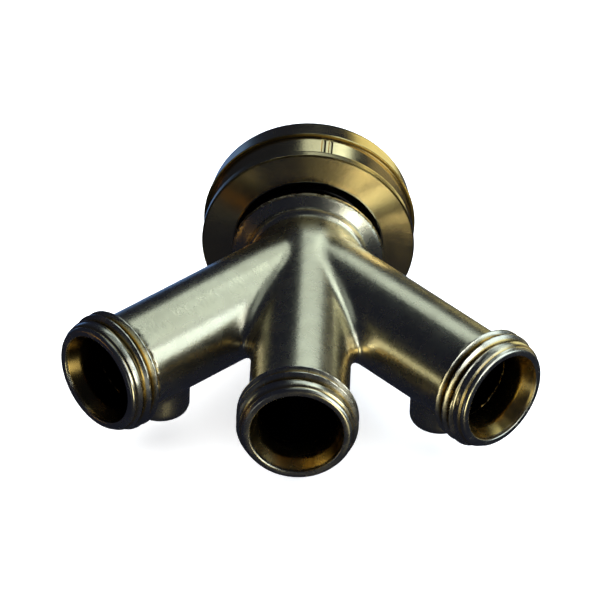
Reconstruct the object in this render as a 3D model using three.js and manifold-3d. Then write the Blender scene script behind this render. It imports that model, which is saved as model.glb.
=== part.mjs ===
// Three-way outlet manifold: one forged brass body with three male hose-thread outlets in one
// plane and a swivel nut on the inlet.  Millimetres, +Z up, the inlet looks along +Y and the
// outlets fan out towards -Y.  Every shape is built about the hub centre, where all four axes
// meet, and the finished part is moved so that the origin is the centre of its bounding box.
import * as THREE from 'three';
import { mergeVertices } from 'three/addons/utils/BufferGeometryUtils.js';
import { ConvexGeometry } from 'three/addons/geometries/ConvexGeometry.js';
import Module from 'manifold-3d';

const wasm = await Module();
wasm.setup();

// ---- outlets -------------------------------------------------------------------------------
const FAN_ANGLE = Math.PI / 4;          // angle between neighbouring outlets
const SIDE_LENGTH = 63.3;               // hub centre to the face of a side outlet
const MIDDLE_LENGTH = 61.4;             // hub centre to the face of the middle outlet
const TUBE_RADIUS = 11.1;
const BORE_RADIUS = 8.9;
const MOUTH_RADIUS = 10.3;              // bore opening at the outlet face
const MOUTH_CONE_DEPTH = 3.6;

// ---- 3/4-11.5 NH outlet thread -------------------------------------------------------------
const HOSE_PITCH = 2.209;
const HOSE_CREST_RADIUS = 13.45;
const HOSE_ROOT_RADIUS = 12.05;
const HOSE_THREAD_START = 2.0;          // first ridge centre, back from the outlet face
const HOSE_THREAD_TURNS = 2.6;
const ROOT_FRONT = 3.0;                 // front end of the thread root, back from the face
const LEAD_RADIUS = 12.7;               // plain band in front of the first ridge
const LEAD_START = 2.5;                 // its two ends, back from the face
const LEAD_END = 1.5;
const LIP_RADIUS = 12.15;               // rounded lip between the band and the face
const LIP_STEP = 0.45;
const LIP_ROUND = 0.9;
const SHOULDER_BACK = 8.3;              // thread root ends this far back from the face
const SHOULDER_RUN = 0.7;

// ---- shape of every thread ridge -----------------------------------------------------------
const BASE_SHARE = 0.48;                // half the ridge's foot, as a share of the pitch
const CREST_SHARE = 0.2;                // crest width as a share of the foot
const RIDGE_SINK = 0.4;                 // how deep the foot is set into the wall
const RUN_OUT_TURNS = 0.3;

// ---- cast pads under the outlets -----------------------------------------------------------
const PAD_RADIUS = 6.7;
const PAD_BOTTOM = 16.8;                // below the outlet axis
const PAD_BACK = 19.2;                  // pad centre, back from the outlet face
const PAD_EDGE = 2.0;                   // rounding of the pad's lower edge

// ---- hub, neck and collar ------------------------------------------------------------------
const NECK_RADIUS = 12.2;
const SWELL_START = -8.0;               // the middle tube swells into the neck from here
const SWELL_MIDDLE = -2.5;
const SWELL_END = 3.0;
const CROTCH_FILLET = 2.6;              // rolling-ball radius between two outlets
const FILLET_REACH = 1.25;              // half the angle that the crotch filling covers
const BALL_REACH = 1.4;                 // half the angle that the rolling ball covers
const COLLAR_FRONT = 4.9;
const COLLAR_BACK = 6.2;
const COLLAR_RADIUS = 17.2;
const COLLAR_CHAMFER = 0.3;
const COLLAR_FILLET = 1.6;
const RELIEF_RADIUS = 14.0;             // groove between collar and journal

// ---- tail of the body, inside the nut ------------------------------------------------------
const JOURNAL_FRONT = 11.9;
const JOURNAL_RADIUS = 16.3;
const GROOVE_FRONT = 14.3;
const GROOVE_BACK = 16.5;
const GROOVE_RADIUS = 14.9;
const TAIL_END = 19.2;
const TAIL_BORE_RADIUS = 11.6;
const TAIL_CHAMFER = 0.5;

// ---- swivel nut ----------------------------------------------------------------------------
const NUT_FRONT = 10.7;
const NUT_BACK = 26.8;
const NUT_HOLE_RADIUS = 16.6;
const NUT_HOLE_CHAMFER = 0.3;
const NUT_WALL = 3.2;                   // thickness of the front wall
const RIM_RADIUS = 24.05;
const RIM_CHAMFER = 0.35;
const RIM_BACK = 13.1;
const RIM_STEP = 0.5;                   // run of the step down to the waist
const RIM_EDGE = 0.2;
const WAIST_FRONT_RADIUS = 22.4;
const WAIST_BACK_RADIUS = 23.1;
const WAIST_BACK = 19.3;
const BAND_FRONT_RADIUS = 24.0;         // conical band, narrower towards the open end
const BAND_BACK_RADIUS = 23.0;
const BAND_STEP = 0.3;
const BAND_ROUND = 2.3;                 // rounding at the open end
const NUT_THREAD_MAJOR = 20.95;         // G 1 1/4 internal thread
const NUT_THREAD_MINOR = 19.48;
const NUT_PITCH = 2.309;
const NUT_THREAD_FRONT = 17.6;
const NUT_THREAD_TURNS = 3.4;
const NUT_MOUTH_CHAMFER = 0.7;
const NUT_MOUTH_WIDTH = 0.3;

// ---- retaining ring and sealing washer -----------------------------------------------------
const RING_INNER_RADIUS = 15.2;
const RING_OUTER_RADIUS = 18.4;
const RING_FRONT = 14.6;
const RING_THICKNESS = 1.6;
const RING_GAP_ANGLE = 0.17;
const WASHER_INNER_RADIUS = 12.2;
const WASHER_OUTER_RADIUS = 19.1;
const WASHER_FRONT = 19.5;
const WASHER_THICKNESS = 2.6;
const WASHER_EDGE = 0.2;

// ---- mesh fineness -------------------------------------------------------------------------
const TUBE_SIDES = 32;
const NUT_SIDES = 56;
const RING_SIDES = 36;
const PAD_SIDES = 16;
const HUB_BORE_SIDES = 20;
const ROUND_STEPS = 3;
const HOSE_STEPS_PER_TURN = 24;
const NUT_STEPS_PER_TURN = 36;
const FILLET_STEPS = 8;
const BALL_SIDES = 12;
const WELD_DISTANCE = 1e-4;
const OVERRUN = 1;                      // how far a cutter runs past the face it cuts

// ---- solids --------------------------------------------------------------------------------

function signedVolume(vertices, triangles) {
  const a = new THREE.Vector3();
  const b = new THREE.Vector3();
  const c = new THREE.Vector3();
  let total = 0;
  for (let i = 0; i < triangles.length; i += 3) {
    a.fromArray(vertices, triangles[i] * 3);
    b.fromArray(vertices, triangles[i + 1] * 3);
    c.fromArray(vertices, triangles[i + 2] * 3);
    total += a.dot(b.cross(c));
  }
  return total / 6;
}

function solid(geometry) {
  const bare = geometry.clone();
  bare.deleteAttribute('normal');
  bare.deleteAttribute('uv');
  const welded = mergeVertices(bare, WELD_DISTANCE);
  const vertProperties = new Float32Array(welded.attributes.position.array);
  const triVerts = new Uint32Array(welded.index.array);
  if (signedVolume(vertProperties, triVerts) < 0) {
    for (let i = 0; i < triVerts.length; i += 3) {
      const kept = triVerts[i + 1];
      triVerts[i + 1] = triVerts[i + 2];
      triVerts[i + 2] = kept;
    }
  }
  return new wasm.Manifold(new wasm.Mesh({ numProp: 3, vertProperties, triVerts }));
}

function geometryOf(manifold) {
  const mesh = manifold.getMesh();
  const geometry = new THREE.BufferGeometry();
  geometry.setAttribute('position', new THREE.BufferAttribute(mesh.vertProperties, 3));
  geometry.setIndex(new THREE.BufferAttribute(mesh.triVerts, 1));
  geometry.computeVertexNormals();
  return geometry;
}

function unite(parts) {
  return parts.reduce((whole, part) => whole.add(part));
}

// A body of revolution about Y; every profile point is (radius, distance along Y).
function turned(profile, sides) {
  const points = profile.map(([radius, along]) => new THREE.Vector2(radius, along));
  return new THREE.LatheGeometry(points, sides);
}

// Points of a quarter round from one direction to another, centred on (radius, along).
function arcPoints(radius, along, size, from, to) {
  const points = [];
  for (let i = 0; i <= ROUND_STEPS; i += 1) {
    const angle = from + ((to - from) * i) / ROUND_STEPS;
    points.push([radius + size * Math.cos(angle), along + size * Math.sin(angle)]);
  }
  return points;
}

// Turns geometry built along +Y so that it points along one outlet.
function towardsOutlet(geometry, fan) {
  return geometry.rotateZ(Math.PI + fan);
}

// ---- threads -------------------------------------------------------------------------------

// A right-hand helix about Y whose ends dip by `dip` so that the ridge runs out into the wall.
class ThreadPath extends THREE.Curve {
  constructor(radius, start, pitch, turns, dip) {
    super();
    this.radius = radius;
    this.start = start;
    this.pitch = pitch;
    this.turns = turns;
    this.dip = dip;
  }

  getPoint(t, target = new THREE.Vector3()) {
    const turn = t * this.turns;
    const fromEnd = Math.min(turn, this.turns - turn);
    const fade = 1 - Math.min(1, fromEnd / RUN_OUT_TURNS);
    const radius = this.radius - this.dip * fade;
    const angle = turn * 2 * Math.PI;
    const along = this.start + turn * this.pitch;
    return target.set(radius * Math.sin(angle), along, radius * Math.cos(angle));
  }

  computeFrenetFrames(segments) {
    const normals = [];
    const binormals = [];
    const tangents = [];
    for (let i = 0; i <= segments; i += 1) {
      const point = this.getPointAt(i / segments);
      const normal = new THREE.Vector3(point.x, 0, point.z).normalize();
      const binormal = new THREE.Vector3(0, -1, 0);
      normals.push(normal);
      binormals.push(binormal);
      tangents.push(new THREE.Vector3().crossVectors(normal, binormal));
    }
    return { normals, binormals, tangents };
  }
}

function threadRidge(path, height, halfBase, sink, steps) {
  const outward = Math.sign(height);
  const halfCrest = halfBase * CREST_SHARE;
  const profile = new THREE.Shape();
  profile.moveTo(-outward * sink, -halfBase);
  profile.lineTo(height, -halfCrest);
  profile.lineTo(height, halfCrest);
  profile.lineTo(-outward * sink, halfBase);
  profile.closePath();
  return new THREE.ExtrudeGeometry(profile, { steps, extrudePath: path, curveSegments: 1 });
}

function hoseThread(length, fan) {
  const height = HOSE_CREST_RADIUS - HOSE_ROOT_RADIUS;
  const start = length - HOSE_THREAD_START - HOSE_THREAD_TURNS * HOSE_PITCH;
  const path = new ThreadPath(HOSE_ROOT_RADIUS, start, HOSE_PITCH, HOSE_THREAD_TURNS, height);
  const steps = Math.round(HOSE_THREAD_TURNS * HOSE_STEPS_PER_TURN);
  return towardsOutlet(threadRidge(path, height, HOSE_PITCH * BASE_SHARE, RIDGE_SINK, steps), fan);
}

function nutThread() {
  const height = NUT_THREAD_MINOR - NUT_THREAD_MAJOR;
  const path = new ThreadPath(NUT_THREAD_MAJOR, NUT_THREAD_FRONT, NUT_PITCH, NUT_THREAD_TURNS, height);
  const steps = Math.round(NUT_THREAD_TURNS * NUT_STEPS_PER_TURN);
  return threadRidge(path, height, NUT_PITCH * BASE_SHARE, RIDGE_SINK, steps);
}

// ---- outlets -------------------------------------------------------------------------------

function outletTube(length, fan) {
  const profile = [
    [0, 0],
    [TUBE_RADIUS, 0],
    [TUBE_RADIUS, length - SHOULDER_BACK - SHOULDER_RUN],
    [HOSE_ROOT_RADIUS, length - SHOULDER_BACK],
    [HOSE_ROOT_RADIUS, length - ROOT_FRONT],
    [LEAD_RADIUS, length - LEAD_START],
    [LEAD_RADIUS, length - LEAD_END],
    [LIP_RADIUS, length - LEAD_END + LIP_STEP],
    ...arcPoints(LIP_RADIUS - LIP_ROUND, length - LIP_ROUND, LIP_ROUND, 0, Math.PI / 2),
    [0, length],
  ];
  return towardsOutlet(turned(profile, TUBE_SIDES), fan);
}

function outletBore(length, fan) {
  const profile = [
    [0, 0],
    [BORE_RADIUS, 0],
    [BORE_RADIUS, length - MOUTH_CONE_DEPTH],
    [MOUTH_RADIUS, length],
    [MOUTH_RADIUS, length + OVERRUN],
    [0, length + OVERRUN],
  ];
  return towardsOutlet(turned(profile, TUBE_SIDES), fan);
}

// Round cast pad under an outlet, just behind its thread.
function outletPad(length, fan) {
  const corner = PAD_RADIUS - PAD_EDGE;
  const profile = [
    [0, 0],
    [PAD_RADIUS, 0],
    ...arcPoints(corner, PAD_BOTTOM - PAD_EDGE, PAD_EDGE, 0, Math.PI / 2),
    [0, PAD_BOTTOM],
  ];
  const out = length - PAD_BACK;
  const pad = turned(profile, PAD_SIDES);
  return pad.rotateX(-Math.PI / 2).translate(out * Math.sin(fan), -out * Math.cos(fan), 0);
}

// ---- the rounded crotch between two neighbouring outlets ------------------------------------

// A ball that touches both tubes has its centre on an ellipse in their bisecting plane.
class BallPath extends THREE.Curve {
  constructor(bisector, reach) {
    super();
    this.bisector = bisector;
    this.reach = reach;
  }

  getPoint(t, target = new THREE.Vector3()) {
    const rise = (t - 0.5) * 2 * this.reach;
    const contact = TUBE_RADIUS + CROTCH_FILLET;
    const out = (contact * Math.cos(rise)) / Math.sin(FAN_ANGLE / 2);
    const across = Math.sin(this.bisector);
    const ahead = -Math.cos(this.bisector);
    return target.set(out * across, out * ahead, contact * Math.sin(rise));
  }
}

function footOnAxis(point, fan) {
  const axis = new THREE.Vector3(Math.sin(fan), -Math.cos(fan), 0);
  return axis.multiplyScalar(axis.dot(point));
}

function crotchFillet(bisector) {
  const filled = new BallPath(bisector, FILLET_REACH);
  const slices = [];
  for (let i = 0; i < FILLET_STEPS; i += 1) {
    const corners = [];
    for (const t of [i / FILLET_STEPS, (i + 1) / FILLET_STEPS]) {
      const centre = filled.getPoint(t);
      corners.push(centre);
      corners.push(footOnAxis(centre, bisector - FAN_ANGLE / 2));
      corners.push(footOnAxis(centre, bisector + FAN_ANGLE / 2));
    }
    slices.push(solid(new ConvexGeometry(corners)));
  }
  const rolled = new BallPath(bisector, BALL_REACH);
  const ball = new THREE.Shape().absarc(0, 0, CROTCH_FILLET, 0, 2 * Math.PI);
  const canal = new THREE.ExtrudeGeometry(ball, {
    steps: FILLET_STEPS * 2,
    extrudePath: rolled,
    curveSegments: BALL_SIDES,
  });
  return unite(slices).subtract(solid(canal));
}

// ---- neck, collar and tail -----------------------------------------------------------------

function neckAndTail() {
  const fillet = COLLAR_FILLET;
  const profile = [
    [0, SWELL_START],
    [TUBE_RADIUS, SWELL_START],
    [(TUBE_RADIUS + NECK_RADIUS) / 2, SWELL_MIDDLE],
    [NECK_RADIUS, SWELL_END],
    [NECK_RADIUS, COLLAR_FRONT - fillet],
    ...arcPoints(NECK_RADIUS + fillet, COLLAR_FRONT - fillet, fillet, Math.PI, Math.PI / 2).slice(1),
    [COLLAR_RADIUS - COLLAR_CHAMFER, COLLAR_FRONT],
    [COLLAR_RADIUS, COLLAR_FRONT + COLLAR_CHAMFER],
    [COLLAR_RADIUS, COLLAR_BACK],
    [RELIEF_RADIUS, COLLAR_BACK],
    [RELIEF_RADIUS, JOURNAL_FRONT],
    [JOURNAL_RADIUS, JOURNAL_FRONT],
    [JOURNAL_RADIUS, GROOVE_FRONT],
    [GROOVE_RADIUS, GROOVE_FRONT],
    [GROOVE_RADIUS, GROOVE_BACK],
    [JOURNAL_RADIUS, GROOVE_BACK],
    [JOURNAL_RADIUS, TAIL_END - TAIL_CHAMFER],
    [JOURNAL_RADIUS - TAIL_CHAMFER, TAIL_END],
    [0, TAIL_END],
  ];
  return turned(profile, NUT_SIDES);
}

function inletBore() {
  const profile = [
    [0, 0],
    [BORE_RADIUS, 0],
    [BORE_RADIUS, COLLAR_FRONT],
    [TAIL_BORE_RADIUS, COLLAR_BACK],
    [TAIL_BORE_RADIUS, TAIL_END + OVERRUN],
    [0, TAIL_END + OVERRUN],
  ];
  return turned(profile, TUBE_SIDES);
}

function hubBall(radius, sides) {
  return new THREE.SphereGeometry(radius, sides, sides / 2);
}

function bodyGeometry() {
  const outlets = [
    [SIDE_LENGTH, -FAN_ANGLE],
    [MIDDLE_LENGTH, 0],
    [SIDE_LENGTH, FAN_ANGLE],
  ];
  const added = [solid(hubBall(TUBE_RADIUS, TUBE_SIDES)), solid(neckAndTail())];
  const cut = [solid(hubBall(BORE_RADIUS, HUB_BORE_SIDES)), solid(inletBore())];
  for (const [length, fan] of outlets) {
    added.push(solid(outletTube(length, fan)));
    added.push(solid(hoseThread(length, fan)));
    added.push(solid(outletPad(length, fan)));
    cut.push(solid(outletBore(length, fan)));
  }
  for (const side of [-1, 1]) {
    added.push(crotchFillet((side * FAN_ANGLE) / 2));
  }
  return geometryOf(unite(added).subtract(unite(cut)));
}

// ---- swivel nut ----------------------------------------------------------------------------

function nutShell() {
  const corner = BAND_BACK_RADIUS - BAND_ROUND;
  const profile = [
    [NUT_HOLE_RADIUS, NUT_FRONT + NUT_HOLE_CHAMFER],
    [NUT_HOLE_RADIUS + NUT_HOLE_CHAMFER, NUT_FRONT],
    [RIM_RADIUS - RIM_CHAMFER, NUT_FRONT],
    [RIM_RADIUS, NUT_FRONT + RIM_CHAMFER],
    [RIM_RADIUS - RIM_EDGE, RIM_BACK - RIM_STEP],
    [RIM_RADIUS - RIM_STEP, RIM_BACK],
    [WAIST_FRONT_RADIUS, RIM_BACK + RIM_STEP],
    [WAIST_BACK_RADIUS, WAIST_BACK],
    [BAND_FRONT_RADIUS - BAND_STEP, WAIST_BACK],
    [BAND_FRONT_RADIUS, WAIST_BACK + BAND_STEP],
    ...arcPoints(corner, NUT_BACK - BAND_ROUND, BAND_ROUND, 0, Math.PI / 2),
    [NUT_THREAD_MAJOR + NUT_MOUTH_WIDTH, NUT_BACK],
    [NUT_THREAD_MAJOR, NUT_BACK - NUT_MOUTH_CHAMFER],
    [NUT_THREAD_MAJOR, NUT_FRONT + NUT_WALL],
    [NUT_HOLE_RADIUS, NUT_FRONT + NUT_WALL],
    [NUT_HOLE_RADIUS, NUT_FRONT + NUT_HOLE_CHAMFER],
  ];
  return turned(profile, NUT_SIDES);
}

function nutGeometry() {
  return geometryOf(solid(nutShell()).add(solid(nutThread())));
}

// ---- retaining ring and sealing washer -----------------------------------------------------

function ringGeometry() {
  const open = RING_GAP_ANGLE / 2;
  const shape = new THREE.Shape();
  shape.absarc(0, 0, RING_OUTER_RADIUS, open, 2 * Math.PI - open, false);
  shape.absarc(0, 0, RING_INNER_RADIUS, 2 * Math.PI - open, open, true);
  shape.closePath();
  const flat = new THREE.ExtrudeGeometry(shape, {
    depth: RING_THICKNESS,
    bevelEnabled: false,
    curveSegments: RING_SIDES,
  });
  flat.rotateX(-Math.PI / 2).translate(0, RING_FRONT, 0).rotateY(Math.PI / 2);
  return geometryOf(solid(flat));
}

function washerGeometry() {
  const back = WASHER_FRONT + WASHER_THICKNESS;
  const profile = [
    [WASHER_INNER_RADIUS, WASHER_FRONT],
    [WASHER_OUTER_RADIUS - WASHER_EDGE, WASHER_FRONT],
    [WASHER_OUTER_RADIUS, WASHER_FRONT + WASHER_EDGE],
    [WASHER_OUTER_RADIUS, back - WASHER_EDGE],
    [WASHER_OUTER_RADIUS - WASHER_EDGE, back],
    [WASHER_INNER_RADIUS, back],
    [WASHER_INNER_RADIUS, WASHER_FRONT],
  ];
  return geometryOf(solid(turned(profile, NUT_SIDES)));
}

// ---- materials -----------------------------------------------------------------------------

function forgedBrass() {
  return new THREE.MeshStandardMaterial({ color: 0xb8ab74, roughness: 0.42, metalness: 1 });
}

function turnedBrass() {
  return new THREE.MeshStandardMaterial({ color: 0xc9a650, roughness: 0.3, metalness: 1 });
}

function springSteel() {
  return new THREE.MeshStandardMaterial({ color: 0x8d9093, roughness: 0.35, metalness: 1 });
}

function blackRubber() {
  return new THREE.MeshStandardMaterial({ color: 0x1d1d1f, roughness: 0.85, metalness: 0 });
}

// ---- assembly ------------------------------------------------------------------------------

function named(name, geometry, material) {
  const mesh = new THREE.Mesh(geometry, material);
  mesh.name = name;
  material.name = `${name}_material`;
  return mesh;
}

const aboutHub = new THREE.Group();
aboutHub.name = 'about_hub';
aboutHub.position.y = (MIDDLE_LENGTH - NUT_BACK) / 2;
aboutHub.add(named('manifold_body', bodyGeometry(), forgedBrass()));
aboutHub.add(named('swivel_nut', nutGeometry(), turnedBrass()));
aboutHub.add(named('retaining_ring', ringGeometry(), springSteel()));
aboutHub.add(named('sealing_washer', washerGeometry(), blackRubber()));

const group = new THREE.Group();
group.name = 'three_way_manifold';
group.add(aboutHub);

export default group;
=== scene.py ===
"""Looks of the three-way hose manifold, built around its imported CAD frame.

Shapes are in millimetres about the hub centre, where all four axes meet, and to_frame() turns
them into metres in the row frame.  Materials, lights and the camera use metres.
"""
import math

import bpy
import numpy as np
from mathutils import Matrix, Vector


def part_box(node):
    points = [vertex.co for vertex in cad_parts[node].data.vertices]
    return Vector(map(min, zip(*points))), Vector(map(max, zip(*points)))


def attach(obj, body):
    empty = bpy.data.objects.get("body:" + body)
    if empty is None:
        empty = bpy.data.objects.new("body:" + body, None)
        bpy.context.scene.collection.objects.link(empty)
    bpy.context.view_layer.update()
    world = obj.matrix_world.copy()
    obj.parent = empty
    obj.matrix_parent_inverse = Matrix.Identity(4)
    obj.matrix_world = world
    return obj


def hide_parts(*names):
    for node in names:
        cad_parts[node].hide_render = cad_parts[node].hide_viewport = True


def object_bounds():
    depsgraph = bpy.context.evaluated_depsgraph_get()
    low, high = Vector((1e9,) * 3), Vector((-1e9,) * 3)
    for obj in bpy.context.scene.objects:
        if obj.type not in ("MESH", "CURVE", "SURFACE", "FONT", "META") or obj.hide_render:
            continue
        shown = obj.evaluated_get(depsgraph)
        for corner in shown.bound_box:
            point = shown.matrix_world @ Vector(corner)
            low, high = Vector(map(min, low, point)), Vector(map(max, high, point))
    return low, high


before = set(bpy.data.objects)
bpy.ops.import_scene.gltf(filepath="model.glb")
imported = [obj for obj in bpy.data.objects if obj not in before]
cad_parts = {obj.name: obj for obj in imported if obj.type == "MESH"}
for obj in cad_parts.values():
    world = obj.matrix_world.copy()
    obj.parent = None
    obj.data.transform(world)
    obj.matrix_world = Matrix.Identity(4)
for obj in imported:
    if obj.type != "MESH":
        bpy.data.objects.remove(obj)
cad_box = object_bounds()

# ---- driving dimensions, millimetres ---------------------------------------------------------
FAN = math.radians(45)
SIDE_LENGTH = 63.3
MIDDLE_LENGTH = 61.4
TUBE_RADIUS = 11.1
BORE_RADIUS = 8.9

NECK_RADIUS = 12.2
NECK_START = -12.0          # the middle tube begins to swell into the neck here
NECK_END = 1.0
COLLAR_RADIUS = 17.2
COLLAR_FRONT = 4.9
COLLAR_BACK = 6.2
RELIEF_RADIUS = 14.0

JOURNAL_FRONT = 11.9
JOURNAL_RADIUS = 16.3
GROOVE_FRONT = 14.3
GROOVE_BACK = 16.5
GROOVE_RADIUS = 14.9
TAIL_END = 19.2
TAIL_BORE_RADIUS = 11.6

PAD_RADIUS = 6.7
PAD_BOTTOM = 16.8
PAD_BACK = 19.2
PAD_EDGE = 2.0

HOSE_PITCH = 2.209
HOSE_CREST = 13.45
HOSE_ROOT = 12.05
FIRST_CREST_BACK = 7.0      # at the top of the outlet, measured back from its face
SHOULDER_BACK = 8.3
TUBE_END_BACK = SHOULDER_BACK + 0.4     # the forged tube ends here, hidden in the machined end
THREAD_FRONT_BACK = 3.0     # the ridge has run out this far back from the face
LEAD_RADIUS = 12.7
LEAD_BACK = 1.5             # plain band in front of the ridge, ends this far back
LIP_RADIUS = 12.15
LIP_ROUND = 0.9
MOUTH_RADIUS = 10.3
MOUTH_EDGE = 0.3
MOUTH_DEPTH = 3.6

NUT_FRONT = 10.7
NUT_BACK = 26.8
NUT_HOLE = 16.6
SOCKET_FRONT = NUT_FRONT + 3.2
RIM_RADIUS = 24.05
RIM_BACK = 12.6
WAIST_FRONT = 14.0
WAIST_BACK = 19.3
WAIST_FRONT_RADIUS = 22.4
WAIST_BACK_RADIUS = 23.1
BAND_FRONT_RADIUS = 24.0
BAND_BACK_RADIUS = 23.0
BAND_ROUND = 2.3
NUT_MAJOR = 20.95
NUT_MINOR = 19.48
NUT_PITCH = 2.309
NUT_THREAD_FRONT = 16.6
NUT_FIRST_CREST = 18.0      # at the top of the nut
STROKE_ANGLES = (353.5, 349.5)          # degrees about the axis, two plain strokes in the waist
STROKE_WIDTH = 2.4          # degrees
STROKE_DEPTH = 0.22

RING_INNER = 15.2
RING_OUTER = 18.4
RING_FRONT = 14.6
RING_THICK = 1.6
RING_GAP = 0.17             # radians, the split in the ring
WASHER_INNER = 12.2
WASHER_OUTER = 19.1
WASHER_FRONT = 19.5
WASHER_THICK = 2.6

CROTCH_BLEND = 7.5          # width of the soft joint between two outlets
PAD_BLEND = 3.0
COLLAR_BLEND = 4.0
VOXEL = 0.55                # grid step of the forging
TURNED_EDGE = 28            # degrees; steeper edges of a turned surface stay sharp

OUTLETS = {"left": (-FAN, SIDE_LENGTH), "middle": (0.0, MIDDLE_LENGTH), "right": (FAN, SIDE_LENGTH)}
MOUTH_PAINTED_TINT = {"left": 0.85, "middle": 0.45, "right": 0.5}   # share of painted amber reflection and painted shade at each mouth's face
INLET_AXIS = (0, 1, 0)
HUB = Vector((0.0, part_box("manifold_body")[0].y + MIDDLE_LENGTH / 1000, 0.0))


def to_frame(points):
    """Millimetres about the hub to metres in the row frame."""
    return np.asarray(points, float) / 1000 + np.array(HUB)


def outlet_axis(fan):
    """Unit vector out of an outlet that is turned by fan from straight on."""
    return np.array([math.sin(fan), -math.cos(fan), 0.0])


# ---- meshes ----------------------------------------------------------------------------------

def mesh_object(name, points, faces, sharp_degrees, painted_shade=None):
    """A linked mesh; the last argument is the share of painted shade at each point, from 0, bare
    metal, to 1, painted black.
    """
    mesh = bpy.data.meshes.new(name)
    mesh.from_pydata(to_frame(points).tolist(), [], [list(map(int, face)) for face in faces])
    mesh.polygons.foreach_set("use_smooth", [True] * len(mesh.polygons))
    mesh.set_sharp_from_angle(angle=math.radians(sharp_degrees))
    if painted_shade is not None:
        mesh.attributes.new("painted_shade", "FLOAT", "POINT").data.foreach_set("value", painted_shade.ravel())
    mesh.update()
    piece = bpy.data.objects.new(name, mesh)
    bpy.context.scene.collection.objects.link(piece)
    return piece


def ring_faces(loops, sides):
    """Quads of a closed loop of rings: the surface of a ring-shaped solid."""
    loop, side = np.meshgrid(np.arange(loops), np.arange(sides), indexing="ij")
    a = loop * sides + side
    b = loop * sides + (side + 1) % sides
    c = ((loop + 1) % loops) * sides + (side + 1) % sides
    d = ((loop + 1) % loops) * sides + side
    return np.stack([a, d, c, b], -1).reshape(-1, 4)


def revolved(name, profile, axis, sides, relief=None, painted_shade=None):
    """A ring-shaped solid of revolution about an axis through the hub.

    profile is a closed loop of (radius, along); relief(radius, along, angle) returns the radii
    to use, so that a thread or a mark can be cut into the surface.  The last argument, called
    with (radius, along), gives the share of painted shade and painted amber reflection.
    """
    profile = np.array(profile, float)
    angle = np.linspace(0, 2 * math.pi, sides, endpoint=False)
    radius = np.repeat(profile[:, :1], sides, 1)
    along = np.repeat(profile[:, 1:], sides, 1)
    turn = np.repeat(angle[None, :], len(profile), 0)
    if relief is not None:
        radius = relief(radius, along, turn)
    axis = np.asarray(axis, float)
    up = np.array([0.0, 0.0, 1.0])
    side = np.cross(axis, up)
    points = (
        along[..., None] * axis
        + (radius * np.cos(turn))[..., None] * up
        - (radius * np.sin(turn))[..., None] * side
    )
    faces = ring_faces(len(profile), sides)
    shares = None if painted_shade is None else painted_shade(radius, along)
    return mesh_object(name, points.reshape(-1, 3), faces, TURNED_EDGE, shares)


def arc(radius, along, size, start, end, steps):
    """Points of a round corner; angles in degrees, 0 is away from the axis and 90 along it."""
    angles = np.radians(np.linspace(start, end, steps + 1))
    return [(radius + size * math.cos(a), along + size * math.sin(a)) for a in angles]


def line(start, end, steps):
    """Points from start to end, without the end itself."""
    share = np.linspace(0, 1, steps, endpoint=False)[:, None]
    return [tuple(p) for p in np.array(start) * (1 - share) + np.array(end) * share]


def flat_ring_section(inner, outer, front, thick, edge, steps, rows=1):
    """Section of a flat ring with rounded edges; rows divide its rear face."""
    back = front + thick
    section = arc(outer - edge, front + edge, edge, -90, 0, steps)
    section += arc(outer - edge, back - edge, edge, 0, 90, steps)
    section += line((outer - edge, back), (inner + edge, back), rows)[1:]
    section += arc(inner + edge, back - edge, edge, 90, 180, steps)
    section += arc(inner + edge, front + edge, edge, 180, 270, steps)
    return section


def smoothstep(x):
    """Eases from 0 to 1 as x runs from 0 to 1."""
    x = np.clip(x, 0, 1)
    return x * x * (3 - 2 * x)


def ridge(phase):
    """Height from 0 to 1 of a 60 degree thread ridge; phase 0 is the crest."""
    distance = np.abs((phase + 0.5) % 1 - 0.5)
    return np.clip(1 - (distance - 0.06) / 0.36, 0, 1)


# ---- the forged body as one soft-jointed solid ------------------------------------------------

def unit(vectors):
    """Each row scaled to length 1."""
    return vectors / np.maximum(np.linalg.norm(vectors, axis=1, keepdims=True), 1e-9)


def rod(points, axis, start, end, radius):
    """Signed distance to a round rod with a ball at its start, and its outward direction."""
    along = points @ axis
    nearest = np.maximum(along, start)[:, None] * axis
    away = points - nearest
    distance = np.linalg.norm(away, axis=1) - radius
    return np.maximum(distance, along - end), unit(away)


def spine(points):
    """The middle tube and the neck: one straight rod that swells towards the collar."""
    along = points[:, 1]
    swell = smoothstep((along - NECK_START) / (NECK_END - NECK_START))
    radius = TUBE_RADIUS + (NECK_RADIUS - TUBE_RADIUS) * swell
    away = points * np.array([1.0, 0.0, 1.0])
    distance = np.linalg.norm(away, axis=1) - radius
    ends = np.maximum(along - COLLAR_BACK, -(along + MIDDLE_LENGTH - TUBE_END_BACK))
    return np.maximum(distance, ends), unit(away)


def soft_union(first, second, width):
    """Joins two solids with a fillet that fades where their surfaces run side by side."""
    d1, g1 = first
    d2, g2 = second
    least = 0.5
    spread = (1 - np.sum(g1 * g2, axis=1)) / 2
    reach = np.maximum(width * spread, least)
    overlap = np.maximum(reach - np.abs(d1 - d2), 0) / reach
    share = np.clip(0.5 + (d2 - d1) / (2 * reach), 0, 1)[:, None]
    return np.minimum(d1, d2) - overlap**2 * reach / 4, unit(g1 * share + g2 * (1 - share))


def collar(points):
    """The flat ring in front of the nut, with its edges softly broken."""
    edge = 0.3
    radial = np.hypot(points[:, 0], points[:, 2]) - (COLLAR_RADIUS - edge)
    middle = (COLLAR_FRONT + COLLAR_BACK) / 2
    axial = np.abs(points[:, 1] - middle) - ((COLLAR_BACK - COLLAR_FRONT) / 2 - edge)
    outside = np.hypot(np.maximum(radial, 0), np.maximum(axial, 0))
    distance = outside + np.minimum(np.maximum(radial, axial), 0) - edge
    flat = np.zeros_like(points)
    flat[:, 1] = np.sign(points[:, 1] - middle)
    rim = unit(points * np.array([1.0, 0.0, 1.0]))
    return distance, np.where((radial > axial)[:, None], rim, flat)


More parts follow.
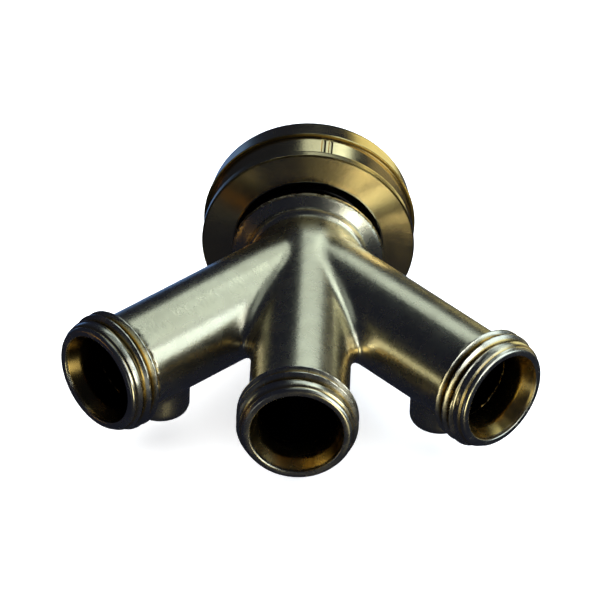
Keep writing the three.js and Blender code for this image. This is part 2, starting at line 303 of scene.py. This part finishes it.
def pad(points, fan, length):
    """A round cast pad that hangs under an outlet."""
    centre = outlet_axis(fan) * (length - PAD_BACK)
    away = (points - centre) * np.array([1.0, 1.0, 0.0])
    radial = np.linalg.norm(away, axis=1) - (PAD_RADIUS - PAD_EDGE)
    low = -points[:, 2] - (PAD_BOTTOM - PAD_EDGE)
    outside = np.hypot(np.maximum(radial, 0), np.maximum(low, 0))
    distance = outside + np.minimum(np.maximum(radial, low), 0) - PAD_EDGE
    return np.maximum(distance, points[:, 2]), unit(away)


def bore_field(points):
    """Below zero inside the water way."""
    beyond = 1000.0
    hollow = rod(points, np.array(INLET_AXIS), 0.0, beyond, BORE_RADIUS)[0]
    for fan, _ in OUTLETS.values():
        hollow = np.minimum(hollow, rod(points, outlet_axis(fan), 0.0, beyond, BORE_RADIUS)[0])
    return hollow


def body_field(points):
    """Below zero inside the forging."""
    solid = spine(points)
    for side in ("left", "right"):
        fan, length = OUTLETS[side]
        tube = rod(points, outlet_axis(fan), 0.0, length - TUBE_END_BACK, TUBE_RADIUS)
        solid = soft_union(solid, tube, CROTCH_BLEND)
    for fan, length in OUTLETS.values():
        solid = soft_union(solid, pad(points, fan, length), PAD_BLEND)
    solid = soft_union(solid, collar(points), COLLAR_BLEND)
    return np.maximum(solid[0], -bore_field(points))


def net_points(field, low, step):
    """A point in every grid cell that the zero level crosses, and a grid of their indices."""
    cells = tuple(n - 1 for n in field.shape)
    corners = [(i, j, k) for i in (0, 1) for j in (0, 1) for k in (0, 1)]

    def shifted(grid, corner):
        return grid[tuple(slice(c, c + n) for c, n in zip(corner, cells))]

    count = sum(shifted(field < 0, c).astype(np.int8) for c in corners)
    mixed = (count > 0) & (count < 8)
    where = np.argwhere(mixed)
    index = np.full(cells, -1)
    index[mixed] = np.arange(len(where))
    values = {c: shifted(field, c)[mixed] for c in corners}
    total = np.zeros((len(where), 3))
    crossings = np.zeros(len(where))
    for a in corners:
        for axis in range(3):
            if a[axis] == 1:
                continue
            b = tuple(1 if n == axis else v for n, v in enumerate(a))
            crosses = (values[a] < 0) != (values[b] < 0)
            share = values[a] / np.where(crosses, values[a] - values[b], 1)
            point = np.array(a, float) + share[:, None] * (np.array(b) - np.array(a))
            total += np.where(crosses[:, None], point, 0)
            crossings += crosses
    return low + step * (where + total / crossings[:, None]), index


def net_quads(inside, index):
    """A quad across every grid edge that the zero level crosses, facing outwards."""
    quads = []
    for axis in range(3):
        u, v = (axis + 1) % 3, (axis + 2) % 3
        near = [slice(1, -1)] * 3
        far = [slice(1, -1)] * 3
        near[axis] = slice(0, -1)
        far[axis] = slice(1, None)
        crosses = inside[tuple(near)] != inside[tuple(far)]
        place = np.argwhere(crosses)
        for n in (u, v):
            place[:, n] += 1
        outward = inside[tuple(place.T)]
        around = []
        for du, dv in ((-1, -1), (0, -1), (0, 0), (-1, 0)):
            cell = place.copy()
            cell[:, u] += du
            cell[:, v] += dv
            around.append(index[tuple(cell.T)])
        quad = np.stack(around, -1)
        quads.append(np.where(outward[:, None], quad, quad[:, ::-1]))
    return np.concatenate(quads)


def settle(points, field):
    """Moves points onto the zero level of the field."""
    rounds = 3
    reach = 0.05
    furthest = 0.4 * VOXEL
    for _ in range(rounds):
        value = field(points)
        slope = np.zeros_like(points)
        for axis in range(3):
            step = np.zeros(3)
            step[axis] = reach
            slope[:, axis] = (field(points + step) - field(points - step)) / (2 * reach)
        size = np.maximum(np.sum(slope**2, axis=1), 0.2)
        move = -slope * (value / size)[:, None]
        limit = furthest / np.maximum(np.linalg.norm(move, axis=1), furthest)
        points = points + move * limit[:, None]
    return points


def forged_body():
    """The casting: hub, neck, collar, tubes and pads, with the water way cut through."""
    reach = SIDE_LENGTH * math.sin(FAN) + TUBE_RADIUS
    low = np.array([-reach, -MIDDLE_LENGTH, -COLLAR_RADIUS]) - 2 * VOXEL
    high = np.array([reach, COLLAR_BACK, COLLAR_RADIUS]) + 3 * VOXEL
    axes = [np.arange(a, b, VOXEL) for a, b in zip(low, high)]
    grid = np.stack(np.meshgrid(*axes, indexing="ij"), -1)
    values = np.concatenate([body_field(slab.reshape(-1, 3)) for slab in grid])
    field = values.reshape(grid.shape[:3])
    points, index = net_points(field, low, VOXEL)
    points = settle(points, body_field)
    # painted shade: the water way's wall is painted black, fading out within 0.4 mm of it
    painted_shade = 1 - smoothstep(bore_field(points) / 0.4)
    return mesh_object("forged_body", points, net_quads(field < 0, index), 50, painted_shade)


# ---- machined ends of the body ----------------------------------------------------------------

def outlet_profile(length):
    """Section of an outlet's machined end: shoulder, thread root, lead band, lip and mouth."""
    back = length - SHOULDER_BACK - 0.8
    thread_back = length - SHOULDER_BACK
    thread_front = length - THREAD_FRONT_BACK
    lead_front = length - LEAD_BACK
    mouth_back = length - MOUTH_DEPTH
    profile = [(BORE_RADIUS + 0.5, back), (TUBE_RADIUS - 0.25, back), (TUBE_RADIUS - 0.2, back + 0.5)]
    profile += line((TUBE_RADIUS - 0.1, thread_back - 0.5), (HOSE_ROOT, thread_back + 0.3), 5)
    profile += line((HOSE_ROOT, thread_back + 0.3), (HOSE_ROOT, thread_front), 64)
    profile += line((HOSE_ROOT, thread_front), (LEAD_RADIUS, thread_front + 0.5), 4)
    profile += line((LEAD_RADIUS, thread_front + 0.5), (LEAD_RADIUS - 0.05, lead_front), 3)
    profile += [(LEAD_RADIUS - 0.12, lead_front + 0.08), (LIP_RADIUS + 0.02, lead_front + 0.45)]
    profile += arc(LIP_RADIUS - LIP_ROUND, length - LIP_ROUND, LIP_ROUND, 4, 90, 9)
    profile += arc(MOUTH_RADIUS + MOUTH_EDGE, length - MOUTH_EDGE, MOUTH_EDGE, 90, 160, 4)
    profile += line((MOUTH_RADIUS, length - 0.5), (BORE_RADIUS, mouth_back), 6)
    profile += [(BORE_RADIUS, mouth_back), (BORE_RADIUS, mouth_back - 0.6)]
    profile += [(BORE_RADIUS, back + 0.5), (BORE_RADIUS + 0.1, back + 0.35)]
    return profile


def outlet_end(side):
    """The machined nose and hose thread of one outlet."""
    fan, length = OUTLETS[side]
    painted_tint = MOUTH_PAINTED_TINT[side]
    thread_back = length - SHOULDER_BACK
    thread_front = length - THREAD_FRONT_BACK
    lead_front = length - LEAD_BACK

    def threaded(radius, along, angle):
        phase = (along - (length - FIRST_CREST_BACK)) / HOSE_PITCH - angle / (2 * math.pi)
        fade_in = smoothstep((along - thread_back - 0.1) / 0.7)
        fade_out = smoothstep((thread_front + 0.35 - along) / 0.7)
        on_thread = np.abs(radius - HOSE_ROOT) < 0.35
        on_thread &= (along > thread_back) & (along < thread_front + 0.3)
        lift = (HOSE_CREST - HOSE_ROOT) * ridge(phase) * fade_in * fade_out
        return np.where(on_thread, radius + lift, radius)

    # painted shade in the thread roots and in the step behind the lip; the mouth gets painted amber
    # reflection at its face and painted shade deeper in
    def painted_shade(radius, along):
        on_root = (along < thread_front) & (radius > HOSE_ROOT - 0.15)
        root = smoothstep((HOSE_ROOT + 0.9 - radius) / 0.9) * on_root
        step = smoothstep(1 - np.abs(along - lead_front - 0.3) / 0.3) * (radius > LIP_RADIUS)
        depth = smoothstep((length - MOUTH_DEPTH - along) / 2)
        deep = (painted_tint + (1 - painted_tint) * depth) * (radius < MOUTH_RADIUS)
        return np.maximum(0.9 * np.maximum(root, step), deep)

    name = f"outlet_thread_{side}"
    return revolved(name, outlet_profile(length), outlet_axis(fan), 144, relief=threaded, painted_shade=painted_shade)


def inlet_tail():
    """The journal and the ring groove behind the collar, inside the nut."""
    start = COLLAR_BACK - 0.4
    profile = [(BORE_RADIUS + 0.6, start), (RELIEF_RADIUS, start)]
    profile += line((RELIEF_RADIUS, COLLAR_BACK), (RELIEF_RADIUS, JOURNAL_FRONT - 0.4), 3)
    profile += arc(RELIEF_RADIUS + 0.4, JOURNAL_FRONT - 0.4, 0.4, 180, 90, 3)
    profile += arc(JOURNAL_RADIUS - 0.3, JOURNAL_FRONT + 0.3, 0.3, -90, 0, 3)
    profile += [(JOURNAL_RADIUS, GROOVE_FRONT - 0.1), (JOURNAL_RADIUS - 0.1, GROOVE_FRONT)]
    profile += [(GROOVE_RADIUS, GROOVE_FRONT), (GROOVE_RADIUS, GROOVE_BACK)]
    profile += [(JOURNAL_RADIUS - 0.1, GROOVE_BACK), (JOURNAL_RADIUS, GROOVE_BACK + 0.1)]
    profile += arc(JOURNAL_RADIUS - 0.5, TAIL_END - 0.5, 0.5, 0, 90, 4)
    profile += arc(TAIL_BORE_RADIUS + 0.4, TAIL_END - 0.4, 0.4, 90, 180, 4)
    profile += [(TAIL_BORE_RADIUS, COLLAR_BACK + 2), (BORE_RADIUS, COLLAR_BACK), (BORE_RADIUS, start)]
    # painted shade: the whole tail, hidden in the nut, is painted black
    return revolved("inlet_tail", profile, INLET_AXIS, 144, painted_shade=lambda r, y: np.ones_like(r))


# ---- swivel nut -------------------------------------------------------------------------------

def nut_outside():
    """Section of the nut from the hole in its front wall, over rim, waist and rear band."""
    profile = [(NUT_HOLE, NUT_FRONT + 0.3), (NUT_HOLE + 0.08, NUT_FRONT + 0.08)]
    profile += [(NUT_HOLE + 0.3, NUT_FRONT)]
    profile += line((NUT_HOLE + 0.4, NUT_FRONT), (RIM_RADIUS - 0.35, NUT_FRONT), 12)
    profile += line((RIM_RADIUS - 0.35, NUT_FRONT), (RIM_RADIUS, NUT_FRONT + 0.35), 2)
    profile += line((RIM_RADIUS, NUT_FRONT + 0.35), (RIM_RADIUS - 0.1, RIM_BACK), 4)
    profile += arc(RIM_RADIUS - 0.4, RIM_BACK, 0.3, 0, 80, 4)
    foot = (WAIST_FRONT_RADIUS + 0.4, WAIST_FRONT - 0.4)
    profile += line((RIM_RADIUS - 0.5, RIM_BACK + 0.5), foot, 3)
    profile += arc(WAIST_FRONT_RADIUS + 0.4, WAIST_FRONT, 0.4, 250, 190, 3)
    waist_end = (WAIST_BACK_RADIUS, WAIST_BACK - 0.15)
    profile += line((WAIST_FRONT_RADIUS, WAIST_FRONT + 0.1), waist_end, 14)
    profile += [(WAIST_BACK_RADIUS, WAIST_BACK), (WAIST_BACK_RADIUS + 0.12, WAIST_BACK + 0.1)]
    profile += [(BAND_FRONT_RADIUS - 0.25, WAIST_BACK + 0.12)]
    profile += [(BAND_FRONT_RADIUS - 0.06, WAIST_BACK + 0.2)]
    band_end = (BAND_BACK_RADIUS, NUT_BACK - BAND_ROUND)
    profile += line((BAND_FRONT_RADIUS, WAIST_BACK + 0.4), band_end, 8)
    profile += arc(BAND_BACK_RADIUS - BAND_ROUND, NUT_BACK - BAND_ROUND, BAND_ROUND, 12, 90, 9)
    return profile


def nut_inside():
    """Section of the threaded socket and the inner side of the nut's front wall."""
    profile = [(NUT_MAJOR + 0.3, NUT_BACK - 0.05), (NUT_MAJOR, NUT_BACK - 0.6)]
    profile += line((NUT_MAJOR, NUT_BACK - 0.7), (NUT_MAJOR, SOCKET_FRONT + 0.3), 84)
    profile += [(NUT_MAJOR, SOCKET_FRONT + 0.2), (NUT_MAJOR - 0.2, SOCKET_FRONT)]
    profile += line((NUT_MAJOR - 0.4, SOCKET_FRONT), (NUT_HOLE + 0.3, SOCKET_FRONT), 3)
    profile += [(NUT_HOLE + 0.3, SOCKET_FRONT), (NUT_HOLE, SOCKET_FRONT - 0.3)]
    return profile


def nut_relief(radius, along, angle):
    """The pipe thread in the socket and the strokes in the waist."""
    phase = (along - NUT_FIRST_CREST) / NUT_PITCH - angle / (2 * math.pi)
    starts = smoothstep((along - NUT_THREAD_FRONT) / 0.8)
    stops = smoothstep((NUT_BACK - 0.5 - along) / 0.6)
    thread = (NUT_MAJOR - NUT_MINOR) * ridge(phase) * starts * stops
    inner = (np.abs(radius - NUT_MAJOR) < 0.01) & (along > SOCKET_FRONT)
    radius = np.where(inner, radius - thread, radius)
    on_waist = (radius > WAIST_FRONT_RADIUS - 0.01) & (radius < WAIST_BACK_RADIUS + 0.01)
    on_waist &= (along > WAIST_FRONT + 0.4) & (along < WAIST_BACK - 0.2)
    for place in STROKE_ANGLES:
        off = np.abs(np.degrees(angle) - place)
        stroke = smoothstep((STROKE_WIDTH / 2 - off) / 0.6)
        radius = np.where(on_waist, radius - STROKE_DEPTH * stroke, radius)
    return radius


def nut_painted_shade(radius, along):
    """Painted shade: dark in the socket, in the hole and in the step behind the waist."""
    inside = (radius < NUT_MAJOR + 0.02) & (along > NUT_FRONT + 0.04)
    socket = smoothstep((along - NUT_FRONT) / 0.3) * smoothstep((NUT_BACK - along) / 6)
    outer = radius > WAIST_FRONT_RADIUS - 0.4
    step = smoothstep(1 - np.abs(along - WAIST_BACK - 0.05) / 0.3) * outer
    return np.maximum(np.where(inside, socket, 0), 0.85 * step)


def swivel_nut():
    """The turned nut; many sides, so that its strokes have crisp edges."""
    profile = nut_outside() + nut_inside()
    return revolved("nut_shell", profile, INLET_AXIS, 540, relief=nut_relief, painted_shade=nut_painted_shade)


def retaining_ring():
    """A split ring of flat wire, sprung into the groove of the tail."""
    section = flat_ring_section(RING_INNER, RING_OUTER, RING_FRONT, RING_THICK, 0.2, 3)
    radius, along = np.array(section).T
    angles = np.linspace(math.pi + RING_GAP / 2, 3 * math.pi - RING_GAP / 2, 140)
    points = [np.stack([radius * math.sin(a), along, radius * math.cos(a)], -1) for a in angles]
    points = np.concatenate(points)
    size = len(section)
    faces = []
    for i in range(len(angles) - 1):
        for j in range(size):
            k = (j + 1) % size
            faces.append([i * size + j, (i + 1) * size + j, (i + 1) * size + k, i * size + k])
    last = (len(angles) - 1) * size
    ends = [list(range(size)), list(reversed(range(last, last + size)))]
    return mesh_object("snap_ring", points, faces + ends, 40)


def sealing_washer():
    """The flat rubber washer on the end of the tail."""
    section = flat_ring_section(WASHER_INNER, WASHER_OUTER, WASHER_FRONT, WASHER_THICK, 0.35, 4, 5)
    return revolved("rubber_washer", section, INLET_AXIS, 128)


# ---- materials --------------------------------------------------------------------------------

# painted light: the first colour is a painted warm reflection, the second a painted shade
AMBER = (0.72, 0.48, 0.14)
SHADE_BLACK = (0.030, 0.026, 0.020)


class Paint:
    """Adds nodes to one material; each texture scale is in features per metre."""

    def __init__(self, name, metallic=0.0):
        self.material = bpy.data.materials.new(name)
        self.material.use_nodes = True
        self.nodes = self.material.node_tree.nodes
        self.links = self.material.node_tree.links
        self.shader = self.nodes["Principled BSDF"]
        self.shader.inputs["Metallic"].default_value = metallic
        self.place = self.add("ShaderNodeTexCoord").outputs["Object"]

    def add(self, kind, **settings):
        node = self.nodes.new(kind)
        for key, value in settings.items():
            setattr(node, key, value)
        return node

    def join(self, source, target):
        self.links.new(source, target)

    def noise(self, scale, detail, roughness=0.5):
        """Fractal noise from 0 to 1, mostly near the middle."""
        node = self.add("ShaderNodeTexNoise")
        node.inputs["Scale"].default_value = scale
        node.inputs["Detail"].default_value = detail
        node.inputs["Roughness"].default_value = roughness
        self.join(self.place, node.inputs["Vector"])
        return node.outputs["Fac"]

    def ramp(self, value, low, high, first, last):
        """Maps value from low..high to first..last."""
        node = self.add("ShaderNodeMapRange")
        node.inputs["From Min"].default_value = low
        node.inputs["From Max"].default_value = high
        node.inputs["To Min"].default_value = first
        node.inputs["To Max"].default_value = last
        self.join(value, node.inputs["Value"])
        return node.outputs["Result"]

    def blend(self, share, first, second):
        """Colour between first and second by share; each is a colour or a socket."""
        node = self.add("ShaderNodeMix", data_type="RGBA")
        self.join(share, node.inputs["Factor"])
        colours = [s for s in node.inputs if s.type == "RGBA"]
        for socket, value in zip(colours, (first, second)):
            if isinstance(value, tuple):
                socket.default_value = (*value, 1.0)
            else:
                self.join(value, socket)
        return [s for s in node.outputs if s.type == "RGBA"][0]

    def patches(self, scale, detail, first, second, spread=0.2):
        """Colours that drift between first and second; a small spread parts them more."""
        share = self.ramp(self.noise(scale, detail), 0.5 - spread, 0.5 + spread, 0, 1)
        return self.blend(share, first, second)

    def calc(self, operation, first, second=None):
        """One step of arithmetic on numbers or sockets."""
        node = self.add("ShaderNodeMath", operation=operation)
        for socket, value in zip(node.inputs, (first, second)):
            if value is None:
                continue
            if isinstance(value, (int, float)):
                socket.default_value = value
            else:
                self.join(value, socket)
        return node.outputs["Value"]

    def bump(self, height, metres, previous=None):
        """Raises the surface by height times metres."""
        node = self.add("ShaderNodeBump")
        node.inputs["Strength"].default_value = 1.0
        node.inputs["Distance"].default_value = metres
        self.join(height, node.inputs["Height"])
        if previous is not None:
            self.join(previous, node.inputs["Normal"])
        return node.outputs["Normal"]

    def finish(self, colour, normal, scale, detail, smoothest, roughest):
        """Wires the shader; roughness drifts between smoothest and roughest."""
        rough = self.ramp(self.noise(scale, detail), 0.3, 0.7, smoothest, roughest)
        self.join(colour, self.shader.inputs["Base Color"])
        self.join(rough, self.shader.inputs["Roughness"])
        self.join(normal, self.shader.inputs["Normal"])
        return self.material

    def with_painted_shade(self, clean):
        """The clean colour where the metal is bare, painted amber reflection at middle shares, and
        painted shade, near black, as the share runs to 1.
        """
        share = self.add("ShaderNodeAttribute", attribute_name="painted_shade").outputs["Fac"]
        painted_tint = self.blend(self.ramp(share, 0, 0.5, 0, 1), clean, AMBER)
        return self.blend(self.ramp(share, 0.5, 1, 0, 1), painted_tint, SHADE_BLACK)

    def tool_marks(self, pitch, slope, lean, front, back, inner):
        """Concentric grooves about the inlet axis, on the flat faces between front and back.

        pitch is the groove spacing in metres.  The faces lie between front and back along the
        axis and outside the radius inner, in millimetres from the hub.  slope is the steepest
        tilt of a groove's side and lean the outward tilt that the tool leaves on all of them,
        both as tangents.
        """
        part = self.add("ShaderNodeSeparateXYZ")
        self.join(self.place, part.inputs["Vector"])
        x2 = self.calc("MULTIPLY", part.outputs["X"], part.outputs["X"])
        z2 = self.calc("MULTIPLY", part.outputs["Z"], part.outputs["Z"])
        radius = self.calc("SQRT", self.calc("ADD", x2, z2))
        travel = self.calc("ADD", radius, part.outputs["Y"])
        wave = self.calc("SINE", self.calc("MULTIPLY", travel, 2 * math.pi / pitch))
        soft = 0.0002
        starts = HUB.y + front / 1000
        ends = HUB.y + back / 1000
        after = self.ramp(part.outputs["Y"], starts - soft, starts + soft, 0, 1)
        before = self.ramp(part.outputs["Y"], ends - soft, ends + soft, 1, 0)
        outside = self.ramp(radius, inner / 1000 - soft, inner / 1000 + soft, 0, 1)
        share = self.calc("MULTIPLY", self.calc("MULTIPLY", after, before), outside)
        depth = slope * pitch / (2 * math.pi)
        falling = self.calc("MULTIPLY", radius, -lean / depth)
        return self.bump(self.calc("MULTIPLY", self.calc("ADD", wave, falling), share), depth)


def forged_brass():
    """Tumbled brass forging: pale, satin, with a fine grain and faint cloudy patches."""
    paint = Paint("forged_brass", metallic=1.0)
    base = paint.patches(90, 4, (0.75, 0.63, 0.38), (0.80, 0.68, 0.42), spread=0.15)
    speck = paint.ramp(paint.noise(900, 2), 0.64, 0.78, 0, 0.25)
    worn = paint.blend(speck, base, (0.58, 0.47, 0.27))
    marks = paint.tool_marks(
        pitch=0.00035,
        slope=0.05,
        lean=0.78,
        front=COLLAR_FRONT - 0.3,
        back=COLLAR_FRONT + 0.3,
        inner=RELIEF_RADIUS - 0.1,
    )
    grain = paint.bump(paint.noise(1500, 3, 0.6), 0.00002, marks)
    swell = paint.bump(paint.noise(160, 2), 0.00006, grain)
    return paint.finish(paint.with_painted_shade(worn), swell, 260, 4, 0.24, 0.30)


def thread_brass():
    """Machined brass of the outlet threads, with painted shade in the roots."""
    paint = Paint("thread_brass", metallic=1.0)
    base = paint.patches(120, 4, (0.72, 0.62, 0.42), (0.80, 0.70, 0.48), spread=0.15)
    grain = paint.bump(paint.noise(1800, 3), 0.00001)
    return paint.finish(paint.with_painted_shade(base), grain, 300, 3, 0.2, 0.3)


def nut_brass():
    """Turned brass of the nut, more golden than the forging, with tool marks on its face."""
    paint = Paint("nut_brass", metallic=1.0)
    base = paint.patches(70, 4, (0.81, 0.60, 0.26), (0.85, 0.64, 0.30), spread=0.15)
    marks = paint.tool_marks(
        pitch=0.00032,
        slope=0.08,
        lean=0.27,
        front=NUT_FRONT - 0.3,
        back=NUT_FRONT + 0.2,
        inner=NUT_HOLE + 0.2,
    )
    grain = paint.bump(paint.noise(1800, 3), 0.00001, marks)
    return paint.finish(paint.with_painted_shade(base), grain, 300, 3, 0.19, 0.24)


def spring_steel():
    """Plain grey wire of the retaining ring."""
    paint = Paint("spring_steel", metallic=1.0)
    tone = paint.patches(300, 3, (0.42, 0.42, 0.43), (0.56, 0.56, 0.57))
    grain = paint.bump(paint.noise(1500, 2), 0.00001)
    return paint.finish(tone, grain, 600, 3, 0.25, 0.4)


def black_rubber():
    """Matt black rubber of the sealing washer."""
    paint = Paint("black_rubber")
    tone = paint.patches(500, 3, (0.012, 0.012, 0.013), (0.03, 0.03, 0.032))
    grain = paint.bump(paint.noise(1400, 3), 0.00004)
    return paint.finish(tone, grain, 900, 3, 0.6, 0.8)


# ---- studio -----------------------------------------------------------------------------------

def direction(azimuth, elevation):
    """Unit vector; azimuth is measured from +Y towards +X, both in degrees."""
    a, e = math.radians(azimuth), math.radians(elevation)
    return Vector((math.sin(a) * math.cos(e), math.cos(a) * math.cos(e), math.sin(e)))


def softbox(name, azimuth, elevation, wide, high, radiance, colour=(1, 1, 1), distance=0.7):
    """An area light that faces the hub; wide and high are the angles it covers, in degrees."""
    light = bpy.data.lights.new(name, "AREA")
    light.shape = "RECTANGLE"
    light.size = 2 * distance * math.tan(math.radians(wide / 2))
    light.size_y = 2 * distance * math.tan(math.radians(high / 2))
    light.energy = radiance * math.pi * light.size * light.size_y
    light.color = colour
    lamp = bpy.data.objects.new(name, light)
    towards = direction(azimuth, elevation)
    lamp.location = HUB + towards * distance
    lamp.rotation_mode = "QUATERNION"
    lamp.rotation_quaternion = towards.to_track_quat("Z", "Y")
    bpy.context.scene.collection.objects.link(lamp)
    return lamp


def lights():
    """Softboxes and cards; each is given by its place, its width and height, and its radiance."""
    cool = (0.77, 1.0, 1.22)
    softbox("rear_softbox", 15, 43, 34, 29, 0.95, cool)
    softbox("top_right_softbox", 59, 52, 46, 22, 1.15, cool)
    softbox("right_softbox", 98, 18, 24, 42, 1.8, (0.76, 1.0, 1.32))
    softbox("overhead_card", 20, 84, 30, 30, 0.3, cool)
    softbox("rear_warm_card", 22.5, -4, 13, 35, 1.05, (0.98, 0.96, 0.5))
    softbox("rear_right_card", 56, 4, 20, 44, 0.38, (1.0, 0.98, 0.75))
    softbox("front_right_card", 156, -12, 20, 24, 2.6, (1.0, 1.0, 0.75))
    softbox("front_collar_card", 130, 16, 26, 24, 3.2, (0.85, 1.0, 1.2))
    softbox("front_top_card", 120, 42, 28, 18, 1.3, (0.85, 1.0, 1.25))
    softbox("left_card", -101, -7, 12, 9, 0.7, (1.0, 0.6, 0.15))
    softbox("front_left_card", -150, -12, 14, 16, 0.4, (0.85, 1.0, 1.2))
    softbox("rear_low_card", -10, -21, 34, 26, 0.3, (0.35, 0.7, 1.7))
    fill = softbox("floor_fill", 0, 90, 90, 90, 3.2, distance=1.2)
    fill.visible_glossy = False


def surroundings():
    """A faint blue glow between the softboxes."""
    world = bpy.data.worlds.new("studio")
    world.use_nodes = True
    background = world.node_tree.nodes["Background"]
    background.inputs["Color"].default_value = (0.35, 0.45, 1.0, 1.0)
    background.inputs["Strength"].default_value = 0.03
    bpy.context.scene.world = world


def pale_floor():
    """A white ground just under the part, left out of the brass's reflections."""
    paint = Paint("pale_floor")
    tone = paint.patches(3, 2, (0.86, 0.86, 0.86), (0.88, 0.88, 0.88))
    inputs = paint.shader.inputs
    paint.join(tone, inputs["Base Color"])
    inputs["Roughness"].default_value = 1.0
    inputs["Specular IOR Level"].default_value = 0.0
    inputs["Emission Color"].default_value = (1.0, 1.0, 1.0, 1.0)
    inputs["Emission Strength"].default_value = 0.6
    level = cad_box[0].z - 0.0003
    half = 3.0
    mesh = bpy.data.meshes.new("floor")
    corners = [(-half, -half, level), (half, -half, level), (half, half, level), (-half, half, level)]
    mesh.from_pydata(corners, [], [(0, 1, 2, 3)])
    mesh.materials.append(paint.material)
    floor = bpy.data.objects.new("floor", mesh)
    bpy.context.scene.collection.objects.link(floor)
    floor.visible_glossy = False
    floor.visible_shadow = False


def camera():
    """Looks down on the outlets along the inlet axis, slightly off square."""
    azimuth = math.radians(0.787)
    elevation = math.radians(35.89)
    roll = math.radians(2.10)
    distance = 1.5103
    shift_right = -0.00143
    shift_up = -0.00662
    back = Vector((
        math.sin(azimuth) * math.cos(elevation),
        -math.cos(azimuth) * math.cos(elevation),
        math.sin(elevation),
    ))
    right = (-back).cross(Vector((0, 0, 1))).normalized()
    up = right.cross(-back)
    side = right * math.cos(roll) + up * math.sin(roll)
    top = up * math.cos(roll) - right * math.sin(roll)
    data = bpy.data.cameras.new("camera")
    data.sensor_width = 36.0
    data.lens = 402.6
    data.clip_start = 0.05
    data.clip_end = 20.0
    eye = bpy.data.objects.new("camera", data)
    place = HUB + back * distance + side * shift_right + top * shift_up
    turn = Matrix((side, top, back)).transposed().to_4x4()
    eye.matrix_world = Matrix.Translation(place) @ turn
    bpy.context.scene.collection.objects.link(eye)
    bpy.context.scene.camera = eye


# ---- build ------------------------------------------------------------------------------------

def finish_piece(piece, material, body, slot, *nodes):
    """Gives a piece its material and its moving body, and hides the CAD nodes it stands for; slot is
    not used.
    """
    piece.data.materials.append(material)
    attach(piece, body)
    if nodes:
        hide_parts(*nodes)


camera()
lights()
surroundings()
pale_floor()
bpy.context.scene.view_settings.view_transform = "Standard"

machined = thread_brass()
finish_piece(forged_body(), forged_brass(), "manifold", "forged_brass", "manifold_body")
for outlet in OUTLETS:
    finish_piece(outlet_end(outlet), machined, "manifold", "forged_brass")
finish_piece(inlet_tail(), machined, "manifold", "forged_brass")
finish_piece(retaining_ring(), spring_steel(), "manifold", "spring_steel", "retaining_ring")
finish_piece(sealing_washer(), black_rubber(), "manifold", "black_rubber", "sealing_washer")
finish_piece(swivel_nut(), nut_brass(), "nut", "turned_brass", "swivel_nut")
